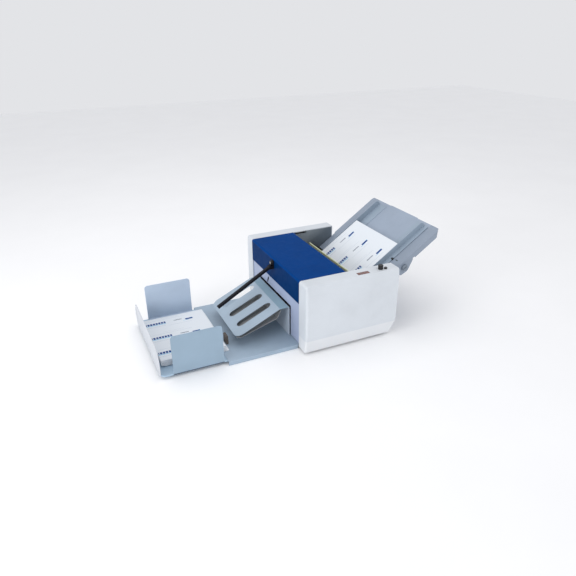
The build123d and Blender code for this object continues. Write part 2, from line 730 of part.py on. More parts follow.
# ---------------------------------------------------------------- catch tray
CATCH_HALF = 191.0
CATCH_CORNER = 20.0
LIP = 3.0
TRAY_FEET_X = (-435.0, -170.0)
TRAY_FOOT_Y = 160.0
CATCH_X = (-460.5, -150.0)
GUIDE_X = (-421.0, -257.0)
GUIDE_TOP = 146.0
GUIDE_Y = 189.2
GUIDE_TRAVEL = 30.0
STUD_X = (-385.0, -293.0)
STUD_Y = 181.0

with BuildPart() as catch_tray:
    box(*CATCH_X, -CATCH_HALF, CATCH_HALF, TRAY_TOP - LIP, TRAY_TOP)
    outer_corners = catch_tray.edges().filter_by(Axis.Z).group_by(Axis.X)[0]
    fillet(outer_corners, CATCH_CORNER)
    rim = catch_tray.faces().sort_by(Axis.Z)[-1].edges()
    fillet(rim.filter_by(lambda e: e.center().X < aft(CATCH_X[1] - 1)), 1.0)
    with BuildSketch(Plane.XY.offset(TRAY_TOP - LIP)) as underside:
        with Locations((aft(sum(CATCH_X) / 2), 0)):
            Rectangle(CATCH_X[1] - CATCH_X[0] - 2 * SHEET, 2 * (CATCH_HALF - SHEET))
        fillet(underside.vertices().group_by(Axis.X)[0], CATCH_CORNER - SHEET)
    extrude(underside.sketch, amount=LIP - SHEET, mode=Mode.SUBTRACT)
    for x in TRAY_FEET_X:
        for side in (-1, 1):
            inner, outer = side * (TRAY_FOOT_Y - 8), side * (TRAY_FOOT_Y + 8)
            box(x - 5, x + 5, min(inner, outer), max(inner, outer), 0, TRAY_TOP - SHEET)
    with BuildSketch(Plane.XY) as guide_slots:
        for x in STUD_X:
            for side in (-1, 1):
                with Locations((aft(x), side * (STUD_Y - GUIDE_TRAVEL / 2))):
                    SlotOverall(GUIDE_TRAVEL + 7, 6, rotation=90)
    extrude(guide_slots.sketch, amount=TRAY_TOP + 1, mode=Mode.SUBTRACT)
save(catch_tray, "catch_tray")


def side_guide(sign):
    """Upright plate with a foot on the tray floor and two headed studs through its slots."""
    inner = sign * GUIDE_Y
    outer = sign * (GUIDE_Y + SHEET)
    foot_edge = sign * (GUIDE_Y - 14)
    with BuildPart() as guide:
        box(*GUIDE_X, min(inner, outer), max(inner, outer), TRAY_TOP + 0.1, GUIDE_TOP)
        top_corners = guide.edges().filter_by(Axis.Y).group_by(Axis.Z)[-1]
        fillet(top_corners, 11)
        box(
            GUIDE_X[0] + 4, GUIDE_X[1] - 4, min(foot_edge, outer), max(foot_edge, outer),
            TRAY_TOP + 0.1, TRAY_TOP + 1.4,
        )
        with BuildSketch(Plane.XY.offset(TRAY_TOP + 0.5)) as studs:
            for x in STUD_X:
                with Locations((aft(x), sign * STUD_Y)):
                    Circle(2.5)
        extrude(studs.sketch, amount=-6)
        with BuildSketch(Plane.XY.offset(TRAY_TOP - SHEET - 0.3)) as heads:
            for x in STUD_X:
                with Locations((aft(x), sign * STUD_Y)):
                    Circle(5)
        extrude(heads.sketch, amount=-3.5)
    return guide


near_side_guide = side_guide(-1)
save(near_side_guide, "near_side_guide")
far_side_guide = side_guide(1)
save(far_side_guide, "far_side_guide")

with BuildPart() as end_stop:
    box(CATCH_X[0] - 1.6, CATCH_X[0] - 0.1, -CATCH_HALF, CATCH_HALF, TRAY_TOP - LIP, 100)
    fillet(end_stop.edges().filter_by(Axis.X).group_by(Axis.Z)[-1], 48)
    fillet(end_stop.edges().filter_by(Axis.X).group_by(Axis.Z)[0], CATCH_CORNER)
save(end_stop, "end_stop")

with BuildPart() as catch_stack:
    box(-448.6, -448.6 + PAPER_L, -PAPER_W / 2, PAPER_W / 2, TRAY_TOP + 0.2, 36)
    box(-439, -439 + PAPER_L, -PAPER_W / 2, PAPER_W / 2, TRAY_TOP + 0.2, 18)
    box(-TABLE_L - 1, -200, -150, 150, TRAY_TOP, TABLE_TOP + 0.2, mode=Mode.SUBTRACT)
save(catch_stack, "catch_stack")

# ---------------------------------------------------------------- infeed tray
TRAY_INSIDE = HALF - 1.5        # half width between the covers
TRAY_OUTSIDE = HALF + 3.0       # half width behind them
TRAY_SPLIT = -85.0              # where it widens, up the slope
TRAY_S = (-172.0, 131.0)
SKIRT_N = -41.0
FLOOR_T = 2.5
GUIDE_FENCE = 141.5
FEED_GUIDE_TRAVEL = 38.0
CROSS_SLOT_S = -55.0
PEG_Y = 110.0
LEDGE_Y = (142.5, 162.0)        # raised outer edge of a feed guide
EAR_R = 21.0
KNOB_R = 11.5

with BuildPart() as infeed_tray:
    with BuildSketch(slope_top(FLOOR_N)):
        with Locations(((TRAY_S[0] + TRAY_S[1]) / 2, 0)):
            Rectangle(TRAY_S[1] - TRAY_S[0], 2 * TRAY_INSIDE)
        with Locations(((TRAY_SPLIT + TRAY_S[1]) / 2, 0)):
            Rectangle(TRAY_S[1] - TRAY_SPLIT, 2 * TRAY_OUTSIDE)
    extrude(amount=SKIRT_N - FLOOR_N)
    with BuildSketch(slope_side()) as end_cut:
        Polygon(
            (TRAY_S[1] + 1, FLOOR_N - 1), (TRAY_S[1], FLOOR_N), (116, SKIRT_N + 3), (108, SKIRT_N - 1),
            (TRAY_S[1] + 1, SKIRT_N - 1), align=None,
        )
    extrude(end_cut.sketch, amount=TRAY_OUTSIDE + 1, both=True, mode=Mode.SUBTRACT)
    top_corners = infeed_tray.edges().filter_by(
        lambda e: abs(e.center().Y) > TRAY_OUTSIDE - 0.5
        and e.center().X > aft(slope_point(112, FLOOR_N)[0]) and e.length > 12 and e.length < 60
    )
    fillet(top_corners, 9)
    with BuildSketch(slope_side()) as ear:
        with BuildLine():
            l1 = Polyline((-100, FLOOR_N - 3), (-7, FLOOR_N - 3), (-9, SKIRT_N - 2))
            CenterArc((PIVOT_S, PIVOT_N), EAR_R, 0, -90)
            Line((PIVOT_S, PIVOT_N - EAR_R), (-72, SKIRT_N - 18))
            Line((-72, SKIRT_N - 18), (-84, SKIRT_N))
            Line((-84, SKIRT_N), (-100, FLOOR_N - 3))
        make_hull()
    for side in (-1, 1):
        extrude(ear.sketch.moved(Location((0, side * (TRAY_OUTSIDE - 1), 0))), amount=1, both=True)
    inside_top = FLOOR_N - FLOOR_T
    with BuildSketch(slope_top(inside_top)) as hollow:
        with Locations(((TRAY_S[0] + 1 + TRAY_S[1] - 3) / 2, 0)):
            Rectangle(TRAY_S[1] - TRAY_S[0] - 4, 2 * (TRAY_INSIDE - 2))
        with Locations(((TRAY_SPLIT + 2 + TRAY_S[1] - 3) / 2, 0)):
            Rectangle(TRAY_S[1] - TRAY_SPLIT - 5, 2 * (TRAY_OUTSIDE - 2))
    extrude(hollow.sketch, amount=-60, mode=Mode.SUBTRACT)
    with BuildSketch(slope_top(FLOOR_N)) as tongue:
        with Locations((TRAY_S[1] - 3, 0)):
            Trapezoid(176, 10, 60, rotation=-90)
    extrude(tongue.sketch, amount=-FLOOR_T)
    with BuildSketch(slope_top(FLOOR_N + 1)) as cross_slots:
        for side in (-1, 1):
            with Locations((CROSS_SLOT_S, side * (PEG_Y + FEED_GUIDE_TRAVEL / 2))):
                SlotOverall(FEED_GUIDE_TRAVEL + 8, 6, rotation=90)
    extrude(cross_slots.sketch, amount=-6, mode=Mode.SUBTRACT)
    with BuildSketch(slope_top(FLOOR_N + 1)) as scale_mark:
        with Locations((-48, -178)):
            SlotOverall(12, 3.5, rotation=90)
    extrude(scale_mark.sketch, amount=-6, mode=Mode.SUBTRACT)
    with BuildSketch(slope_side(-TRAY_OUTSIDE)) as notch:
        with Locations((0, SKIRT_N)):
            Rectangle(10, 9)
    extrude(notch.sketch, amount=3, both=True, mode=Mode.SUBTRACT)
    bore(slope_point(PIVOT_S, PIVOT_N), 4.0 + RUN_FIT, -TRAY_OUTSIDE - 1, -TRAY_OUTSIDE + 5)
    bore(slope_point(PIVOT_S, PIVOT_N), 4.0 + RUN_FIT, TRAY_OUTSIDE - 5, TRAY_OUTSIDE + 1)
save(infeed_tray, "infeed_tray")

ARM_OUT = TRAY_INSIDE - 2.6
with BuildPart() as tray_arms:
    for side in (-1, 1):
        middle = side * (ARM_OUT - 1.5)
        with BuildSketch(slope_side(middle)) as arm:
            Polygon(
                (-170, -66), (-170, -45), (-110, -45), (-70, -33), (-38, -33),
                (-38, -49), (-64, -54), (-90, -66), align=None,
            )
        extrude(arm.sketch, amount=1.5, both=True)
        with BuildSketch(slope_side(side * (ARM_OUT + PLATE_IN) / 2)) as boss:
            Polygon((-168, -64), (-168, -46), (-132, -46), (-144, -64), align=None)
        extrude(boss.sketch, amount=(PLATE_IN - ARM_OUT) / 2, both=True)
        bore(slope_point(PIVOT_S, PIVOT_N), 4.0, middle - 2, middle + 2)
save(tray_arms, "tray_arms")


def tray_knob(sign):
    """Scalloped knob whose stud passes through the tray's ear into the frame arm."""
    face = sign * (TRAY_OUTSIDE + GAP)
    pivot_x, pivot_z = slope_point(PIVOT_S, PIVOT_N)
    with BuildPart() as knob:
        rod((pivot_x, pivot_z), KNOB_R, min(face, face + sign * 7), max(face, face + sign * 7))
        fillet(knob.edges().group_by(Axis.Y)[0 if sign < 0 else -1], 1.5)
        with BuildSketch(lengthwise(face)) as scallops:
            with Locations((aft(pivot_x), pivot_z)):
                with PolarLocations(KNOB_R + 0.8, 12):
                    Circle(1.8)
        extrude(scallops.sketch, amount=8, both=True, mode=Mode.SUBTRACT)
        tip = sign * (ARM_OUT - 3.5)
        rod((pivot_x, pivot_z), 4.0 - RUN_FIT, min(face, tip), max(face, tip))
        with BuildSketch(lengthwise(face + sign * 7)) as grip:
            with Locations((aft(pivot_x), pivot_z)):
                SlotOverall(17, 3.4, rotation=35)
        extrude(grip.sketch, amount=2, both=True)
    return knob


near_tray_knob = tray_knob(-1)
save(near_tray_knob, "near_tray_knob")
far_tray_knob = tray_knob(1)
save(far_tray_knob, "far_tray_knob")


def feed_guide(sign):
    """Flat strip on the infeed tray with a fence beside the stack and a raised outer ledge."""
    foot_n = FLOOR_N + 0.1
    with BuildPart() as guide:
        with BuildSketch(slope_top(foot_n)):
            with Locations((-28, sign * 120.5)):
                Rectangle(290, 45)
        extrude(amount=1.4)
        with BuildSketch(slope_top(foot_n + 1.3)) as ledge:
            with Locations((-28, sign * sum(LEDGE_Y) / 2)):
                Rectangle(290, LEDGE_Y[1] - LEDGE_Y[0])
        extrude(ledge.sketch, amount=1.4)
        with BuildSketch(slope_side(sign * (GUIDE_FENCE + 0.75))) as fence:
            Polygon((-173, foot_n), (-173, 2), (117, 2), (117, foot_n), align=None)
            fillet(fence.vertices().filter_by(lambda v: v.X > 116 and v.Y > 0), 12)
        extrude(fence.sketch, amount=0.75, both=True)
        with BuildSketch(slope_top(foot_n + 0.5)) as peg:
            with Locations((CROSS_SLOT_S, sign * PEG_Y)):
                Circle(2.6)
        extrude(peg.sketch, amount=-7)
        with BuildSketch(slope_top(FLOOR_N - FLOOR_T - 0.4)) as head:
            with Locations((CROSS_SLOT_S, sign * PEG_Y)):
                Circle(6)
        extrude(head.sketch, amount=-4)
    return guide


near_feed_guide = feed_guide(-1)
save(near_feed_guide, "near_feed_guide")
far_feed_guide = feed_guide(1)
save(far_feed_guide, "far_feed_guide")

with BuildPart() as infeed_stack:
    with BuildSketch(slope_top(0)):
        with Locations((-PAPER_L / 2, 0)):
            Rectangle(PAPER_L, PAPER_W)
    extrude(amount=-STACK_T)
save(infeed_stack, "infeed_stack")
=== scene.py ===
"""Looks of the desktop franking machine: materials, paper, small fittings, light and camera."""

import math
import random

import bmesh
import bpy
from mathutils import Matrix, Vector


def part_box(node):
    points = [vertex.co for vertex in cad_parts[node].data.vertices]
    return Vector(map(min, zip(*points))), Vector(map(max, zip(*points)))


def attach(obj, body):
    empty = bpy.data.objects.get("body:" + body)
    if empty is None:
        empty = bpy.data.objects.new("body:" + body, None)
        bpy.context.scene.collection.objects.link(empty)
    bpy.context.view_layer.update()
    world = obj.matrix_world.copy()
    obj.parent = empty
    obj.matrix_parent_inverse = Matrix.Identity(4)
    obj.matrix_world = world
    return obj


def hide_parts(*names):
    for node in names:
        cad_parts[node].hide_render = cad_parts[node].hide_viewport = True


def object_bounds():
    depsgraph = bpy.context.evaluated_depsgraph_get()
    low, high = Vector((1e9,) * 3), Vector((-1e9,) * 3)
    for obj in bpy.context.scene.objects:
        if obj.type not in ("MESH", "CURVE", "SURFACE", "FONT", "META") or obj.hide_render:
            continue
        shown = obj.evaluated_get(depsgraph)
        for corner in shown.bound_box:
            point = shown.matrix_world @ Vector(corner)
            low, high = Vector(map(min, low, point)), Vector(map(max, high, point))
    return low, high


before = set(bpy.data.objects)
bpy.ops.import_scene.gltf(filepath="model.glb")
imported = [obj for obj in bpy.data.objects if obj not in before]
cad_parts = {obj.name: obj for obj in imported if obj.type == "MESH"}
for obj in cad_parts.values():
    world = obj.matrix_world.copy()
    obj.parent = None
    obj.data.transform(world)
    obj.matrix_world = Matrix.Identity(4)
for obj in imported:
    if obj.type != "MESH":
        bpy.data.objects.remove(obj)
cad_low, cad_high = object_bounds()
MM = 0.001
X, Y, Z = range(3)

# ---------------------------------------------------------------- colours, linear RGB
COVER_WHITE = (0.635, 0.67, 0.71)
# painted light: a lighter white for the side covers' downward-facing lower band
COVER_FOOT_LIGHT_WHITE = (0.715, 0.735, 0.76)
LID_BLUE = (0.0004, 0.044, 0.205)
# painted shade: a darker blue for the lid's front face
LID_FRONT_SHADE_BLUE = (0.0003, 0.029, 0.125)
PANEL_LAVENDER = (0.38, 0.44, 0.60)
TABLE_BLUE = (0.335, 0.43, 0.53)
# painted light: the catch tray's blue, the guides' paint made lighter
CATCH_LIGHT_BLUE = (0.38, 0.52, 0.65)
# painted shadow: dark navy on the catch tray's lips beside the side guides, a shadow line under
# them
GUIDE_SHADOW_NAVY = (0.055, 0.080, 0.125)
# painted shade: the near side guide's paint made darker than the catch tray's
NEAR_GUIDE_SHADE_BLUE = (0.29, 0.395, 0.495)
# painted light: the far side guide's paint, the same as the near guide's, made much lighter
FAR_GUIDE_LIGHT_BLUE = (0.52, 0.62, 0.75)
RAMP_BLUE = (0.35, 0.44, 0.53)
# painted shade: the exit ramp's shelf under the lid, darker and tealer than the ramp
SHELF_SHADE_BLUE = (0.27, 0.40, 0.48)
# painted light: the ramp's vertical flange under the shelf, lighter than the ramp
FLANGE_LIGHT_BLUE = (0.48, 0.55, 0.64)
TRAY_GREY = (0.30, 0.36, 0.45)
WING_GREY = (0.26, 0.31, 0.385)
STRIP_GREY = (0.29, 0.36, 0.44)
STOP_PALE = (0.55, 0.575, 0.615)
CREAM = (0.60, 0.63, 0.40)
PLASTIC_BLACK = (0.012, 0.012, 0.014)
ARM_BLACK = (0.006, 0.006, 0.010)
KNOB_GREY = (0.21, 0.25, 0.30)
LAMP_GREY = (0.42, 0.44, 0.48)
MARK_DARK = (0.025, 0.045, 0.045)
DARK_SHEET = (0.25, 0.255, 0.26)
NYLON_IVORY = (0.74, 0.71, 0.60)
STEEL = (0.58, 0.58, 0.58)
PLATE_STEEL = (0.33, 0.36, 0.38)
ALUMINIUM = (0.78, 0.79, 0.80)
ZINC = (0.52, 0.54, 0.55)
BRONZE_DARK, BRONZE_LIGHT = (0.35, 0.21, 0.09), (0.62, 0.43, 0.20)
BRONZE_PORE = (0.10, 0.07, 0.04)
RUBBER_BLACK = (0.018, 0.018, 0.019)
RUBBER_GREY = (0.07, 0.07, 0.075)
RUBBER_RED = (0.24, 0.09, 0.05)
BLOCK_BROWN = (0.10, 0.085, 0.075)
TALC = (0.22, 0.22, 0.22)
BOARD_GREEN, TRACK_GREEN = (0.012, 0.09, 0.035), (0.03, 0.20, 0.07)
SOLDER = (0.62, 0.63, 0.60)
FOAM_DARK, FOAM_BLUE = (0.004, 0.004, 0.018), (0.02, 0.022, 0.075)
WINDOW_DARK, WINDOW_RED = (0.060, 0.016, 0.012), (0.115, 0.030, 0.024)
COUNTER_CELL = (0.21, 0.052, 0.036)
PAPER_DARK, PAPER_LIGHT = (0.72, 0.765, 0.81), (0.79, 0.825, 0.87)
CUT_GAP, CUT_PAPER, CUT_BRIGHT = (0.72, 0.73, 0.76), (0.94, 0.95, 0.97), (0.97, 0.98, 0.99)
FLOOR_DARK, FLOOR_LIGHT = (0.955, 0.955, 0.96), (0.975, 0.975, 0.98)

# stretches of a node with a tone of their own, several of them painted light or shade: axis, from
# and to in metres, colour
# painted shade: the lid's front, up to just under its top, in the darker blue
SHADED_LID_FRONT_BAND = (Z, 0.16, 0.243, LID_FRONT_SHADE_BLUE)
# painted light: the side covers' lower band, which faces down, made lighter than the rest
LIT_COVER_FOOT_BAND = (Z, 0.0, 0.052, COVER_FOOT_LIGHT_WHITE)
# painted shade: the ramp's shelf, in the darker tone
SHADED_SHELF_BAND = (X, -0.0748, -0.0427, SHELF_SHADE_BLUE)
# painted light: the ramp's vertical flange, in the lighter tone
LIT_FLANGE_BAND = (X, -0.0426, -0.0380, FLANGE_LIGHT_BLUE)
TRAY_MIDDLE = (Y, -0.163, 0.163, TRAY_GREY)
# painted shadow: the lips left out here keep the dark navy base colour
CATCH_STRETCHES = (             # all but the tray's lips beside the two side guides
    (Y, -0.1899, 0.1899, CATCH_LIGHT_BLUE),
    (X, -0.520, -0.461, CATCH_LIGHT_BLUE),
    (X, -0.296, -0.100, CATCH_LIGHT_BLUE),
)

NOISE_LOW, NOISE_HIGH = 0.3, 0.7    # nearly all of a noise texture lies between these


def shade(colour, factor):
    return tuple(min(1.0, c * factor) for c in colour)


# ---------------------------------------------------------------- material building
class Look:
    """A node material being put together; its textures use the piece's own metres."""

    def __init__(self, name, **sockets):
        self.material = bpy.data.materials.new(name)
        self.material.use_nodes = True
        self.tree = self.material.node_tree
        self.shader = self.tree.nodes["Principled BSDF"]
        self.place = self.tree.nodes.new("ShaderNodeTexCoord").outputs["Object"]
        for socket, value in sockets.items():
            self.shader.inputs[socket.replace("_", " ")].default_value = value

    def node(self, kind, **values):
        made = self.tree.nodes.new(kind)
        for key, value in values.items():
            setattr(made, key, value)
        return made

    def feed(self, socket, source):
        if isinstance(source, bpy.types.NodeSocket):
            self.tree.links.new(source, socket)
        else:
            socket.default_value = source

    def math(self, operation, *inputs):
        made = self.node("ShaderNodeMath", operation=operation)
        for socket, source in zip(made.inputs, inputs):
            self.feed(socket, source)
        return made.outputs[0]

    def axes(self):
        """The place's x, y and z, each in metres."""
        split = self.node("ShaderNodeSeparateXYZ")
        self.feed(split.inputs[0], self.place)
        return split.outputs

    def stretched(self, factors):
        made = self.node("ShaderNodeMapping")
        self.feed(made.inputs["Vector"], self.place)
        made.inputs["Scale"].default_value = factors
        return made.outputs[0]

    def noise(self, scale, detail=3.0, rough=0.55, stretch=None):
        made = self.node("ShaderNodeTexNoise")
        self.feed(made.inputs["Vector"], self.stretched(stretch) if stretch else self.place)
        made.inputs["Scale"].default_value = scale
        made.inputs["Detail"].default_value = detail
        made.inputs["Roughness"].default_value = rough
        return made.outputs["Fac"]

    def cells(self, scale, feature="F1", output="Distance"):
        made = self.node("ShaderNodeTexVoronoi", feature=feature)
        self.feed(made.inputs["Vector"], self.place)
        made.inputs["Scale"].default_value = scale
        return made.outputs[output]

    def remap(self, source, low, high, start=NOISE_LOW, end=NOISE_HIGH):
        """Low where the source is at its start, high where it's at its end."""
        made = self.node("ShaderNodeMapRange")
        self.feed(made.inputs["Value"], source)
        for socket, value in zip(("From Min", "From Max"), (start, end)):
            made.inputs[socket].default_value = value
        for socket, value in zip(("To Min", "To Max"), (low, high)):
            made.inputs[socket].default_value = value
        return made.outputs[0]

    def ramp(self, source, stops):
        made = self.node("ShaderNodeValToRGB")
        self.feed(made.inputs["Fac"], source)
        marks = made.color_ramp.elements
        while len(marks) < len(stops):
            marks.new(0.5)
        for mark, (position, colour) in zip(marks, stops):
            mark.position = position
            mark.color = (*colour, 1)
        return made.outputs["Color"]

    def between(self, source, first, second):
        """From the first colour to the second, over a noise texture's usual range."""
        return self.ramp(source, [(NOISE_LOW, first), (NOISE_HIGH, second)])

    def mix(self, factor, first, second, blend="MIX"):
        made = self.node("ShaderNodeMix", data_type="RGBA", blend_type=blend)
        self.feed(made.inputs["Factor"], factor)
        for socket, source in zip((made.inputs[6], made.inputs[7]), (first, second)):
            self.feed(socket, (*source, 1) if isinstance(source, tuple) else source)
        return made.outputs[2]

    def clouded(self, source, colour, low, high):
        """The colour, a little darker and lighter in patches."""
        stops = [(0.25, shade(colour, low)), (0.5, colour), (0.8, shade(colour, high))]
        return self.ramp(source, stops)

    def zone(self, axis, low, high, outside, inside):
        """One tone outside and another inside a stretch of the piece, in metres along an axis."""
        place = self.axes()[axis]
        within = self.math("COMPARE", place, (low + high) / 2, (high - low) / 2)
        return self.mix(within, outside, inside)

    def painted(self, source, colour, bands, low=0.92, high=1.06):
        """Clouded paint; each band (axis, from, to, colour) has a tone of its own."""
        tone = self.clouded(source, colour, low, high)
        for axis, start, end, inside in bands:
            tone = self.zone(axis, start, end, tone, self.clouded(source, inside, low, high))
        return tone

    def bump(self, *heights):
        """Each height is (source, strength, distance in mm); they add up."""
        normal = None
        for source, strength, distance in heights:
            made = self.node("ShaderNodeBump")
            self.feed(made.inputs["Height"], source)
            made.inputs["Strength"].default_value = strength
            made.inputs["Distance"].default_value = distance * MM
            if normal:
                self.feed(made.inputs["Normal"], normal)
            normal = made.outputs["Normal"]
        self.feed(self.shader.inputs["Normal"], normal)

    def finish(self, colour, roughness):
        self.feed(self.shader.inputs["Base Color"], colour)
        self.feed(self.shader.inputs["Roughness"], roughness)
        return self.material


def moulded_plastic(name, colour, roughness=0.42, shine=0.45, bands=()):
    """Injection-moulded plastic: spark-eroded grain, faint flow marks and handling haze."""
    look = Look(name, Specular_IOR_Level=shine)
    tone = look.painted(look.noise(9, detail=4), colour, bands, low=0.93, high=1.05)
    speck = look.remap(look.noise(2600, detail=1), 0.0, 0.10, start=0.55, end=0.75)
    haze = look.noise(38, detail=5, stretch=(1, 0.4, 0.7))
    look.bump(
        (look.noise(1500, detail=2), 0.15, 0.12),
        (look.noise(55, detail=2), 0.05, 0.4),
    )
    return look.finish(
        look.mix(speck, tone, shade(colour, 0.8)),
        look.remap(haze, roughness - 0.07, roughness + 0.10),
    )


def enamel(name, colour, roughness, bands):
    """Stoved paint on sheet steel: orange peel, slight clouding and hairline scuffs."""
    look = Look(name, Specular_IOR_Level=0.015)
    tone = look.painted(look.noise(14, detail=4), colour, bands, low=0.90, high=1.08)
    hairline = look.noise(240, detail=6, rough=0.7, stretch=(0.12, 1, 1))
    scuff = look.remap(hairline, 0.0, 0.22, start=0.66, end=0.80)
    gloss = look.remap(look.noise(70, detail=4), roughness - 0.06, roughness + 0.09)
    look.bump(
        (look.noise(620, detail=2), 0.10, 0.15),
        (look.noise(26, detail=2), 0.04, 0.6),
    )
    return look.finish(look.mix(scuff, tone, shade(colour, 1.5)), gloss)


def powder_coat(name, colour, roughness=0.46, bands=()):
    """Powder-coated sheet metal: fine pebbled skin, a little darker in its small hollows."""
    look = Look(name, Specular_IOR_Level=0.5)
    tone = look.painted(look.noise(11, detail=4), colour, bands)
    pebble = look.cells(1100)
    # darker in the hollows of the pebbled skin
    hollow_darkening = look.remap(pebble, 0.16, 0.0, start=0.05, end=0.35)
    gloss = look.remap(look.noise(60, detail=5), roughness - 0.08, roughness + 0.10)
    look.bump((pebble, 0.20, 0.12), (look.noise(420), 0.12, 0.2))
    return look.finish(look.mix(hollow_darkening, tone, shade(colour, 0.84)), gloss)


def brushed(name, colour, roughness=0.28, along=(0.03, 1, 1)):
    """Ground or drawn metal with fine lines along one axis."""
    look = Look(name, Metallic=1.0)
    line = look.noise(2400, rough=0.6, stretch=along)
    stain = look.noise(22, detail=4)
    tone = look.mix(
        0.5,
        look.between(line, shade(colour, 0.78), shade(colour, 1.1)),
        look.between(stain, shade(colour, 0.85), colour),
    )
    look.bump((line, 0.18, 0.05))
    return look.finish(tone, look.remap(line, roughness - 0.08, roughness + 0.14))


def zinc(name):
    """Zinc-plated sheet with large soft spangles."""
    look = Look(name, Metallic=0.9)
    spangle = look.cells(90, "SMOOTH_F1", "Color")
    cloud = look.between(look.noise(40, detail=5), shade(ZINC, 0.8), shade(ZINC, 1.1))
    look.bump((look.noise(500, detail=4), 0.12, 0.1))
    return look.finish(
        look.mix(0.25, cloud, spangle, "SOFT_LIGHT"),
        look.remap(look.noise(120, detail=5), 0.30, 0.52),
    )


def rubber(name, colour, rib=0.0):
    """Matt elastomer with talc bloom and a ground, pimply face; rib makes the pimples higher."""
    look = Look(name, Specular_IOR_Level=0.35)
    cloud = look.noise(35, detail=6, rough=0.65)
    bloom = look.remap(cloud, 0.0, 0.35, start=0.52, end=0.85)
    look.bump(
        (look.noise(1700, rough=0.7), 0.35, 0.1),
        (look.cells(700), 0.1 + rib, 0.12),
    )
    tone = look.between(look.noise(300, detail=4), shade(colour, 0.8), shade(colour, 1.25))
    return look.finish(
        look.mix(bloom, tone, TALC),
        look.remap(look.noise(90, detail=4), 0.62, 0.85),
    )


def sintered_bronze(name):
    """Pressed bronze powder with dark, oil-filled pores."""
    look = Look(name, Metallic=1.0)
    pore = look.remap(look.cells(1800), 1.0, 0.0, start=0.02, end=0.16)
    tone = look.between(look.noise(160, detail=5), BRONZE_DARK, BRONZE_LIGHT)
    look.bump((pore, 0.3, -0.08))
    return look.finish(look.mix(pore, tone, BRONZE_PORE), look.remap(look.noise(220), 0.34, 0.55))


def circuit_board(name):
    """Solder resist over square-routed copper, with tinned pads."""
    look = Look(name, Coat_Weight=0.4, Coat_Roughness=0.15)
    brick = look.node("ShaderNodeTexBrick", offset=0.37)
    look.feed(brick.inputs["Vector"], look.place)
    brick.inputs["Scale"].default_value = 60
    brick.inputs["Mortar Size"].default_value = 0.045
    tracks = brick.outputs["Fac"]
    base = look.ramp(tracks, [(0.0, BOARD_GREEN), (1.0, TRACK_GREEN)])
    pad = look.remap(look.cells(330), 1.0, 0.0, start=0.14, end=0.18)
    look.bump((tracks, 0.3, 0.06), (pad, 0.3, 0.08))
    return look.finish(look.mix(pad, base, SOLDER), look.remap(look.noise(200), 0.28, 0.45))


def inked_foam(name):
    """Open-celled foam soaked in blue-black ink."""
    look = Look(name)
    cell = look.cells(900)
    look.bump((cell, 0.6, 0.3))
    tone = look.ramp(cell, [(0.05, FOAM_DARK), (0.5, FOAM_BLUE)])
    return look.finish(tone, look.remap(look.noise(300), 0.25, 0.6))


CELL_PITCH = 9.4 * MM           # from one cell of the counter to the next


def tinted_window(name):
    """Smoked red acrylic with unlit counter cells showing faintly behind it."""
    look = Look(name, Coat_Weight=0.5, Coat_Roughness=0.10)
    cell = look.math("FRACT", look.math("DIVIDE", look.axes()[X], CELL_PITCH))
    lit = look.math("MULTIPLY", look.math("COMPARE", cell, 0.5, 0.30), 0.65)
    deep = look.between(look.noise(60), WINDOW_DARK, WINDOW_RED)
    look.bump((look.noise(2000, detail=2, stretch=(0.05, 1, 1)), 0.05, 0.03))
    return look.finish(
        look.mix(lit, deep, COUNTER_CELL),
        look.remap(look.noise(400), 0.06, 0.16),
    )


def paper_edges(name):
    """Cut paper: sheet lines across the thickness, faint grey where sheets part."""
    look = Look(name, Specular_IOR_Level=0.2)
    lines = look.noise(1, detail=2, stretch=(18, 18, 5200))
    tone = look.ramp(lines, [(0.24, CUT_GAP), (0.38, CUT_PAPER), (0.7, CUT_BRIGHT)])
    look.bump((lines, 0.5, 0.2))
    return look.finish(tone, look.remap(look.noise(900), 0.8, 0.95))


FORM_PITCH = 97 * MM            # from one printed form to the next across the sheet
FORM_OFFSET = 3 * MM
WOBBLE = 2.5 * MM               # how far the print's edges wander
LETTER_GAP = 0.24               # part of each character's length that stays blank
PALE_INK = (0.16, 0.50, 0.74)
NAVY_INK = (0.010, 0.060, 0.24)
GREY_INK = (0.16, 0.19, 0.24)
FAINT_INK = (0.55, 0.60, 0.68)
PRINT_MARKS = (                 # mm down the sheet, mm across the form, ink, character's length
    (48, 58, -5, -2, PALE_INK, 5),
    (64, 84, -15, -13, PALE_INK, 5),
    (50, 76, -12, -3, NAVY_INK, 0),
    (88, 116, -3, 2.5, GREY_INK, 4.5),
    (146, 214, -6, 6, NAVY_INK, 9.5),
    (146, 216, -11, -8, PALE_INK, 0),
    (150, 214, -20, -18.5, FAINT_INK, 3),
    (150, 214, -24, -22.5, FAINT_INK, 2.5),
    (56, 140, -28, -26.5, FAINT_INK, 3),
    (70, 212, 21, 22.2, FAINT_INK, 0),
    (96, 170, 30, 31.2, FAINT_INK, 4),
)


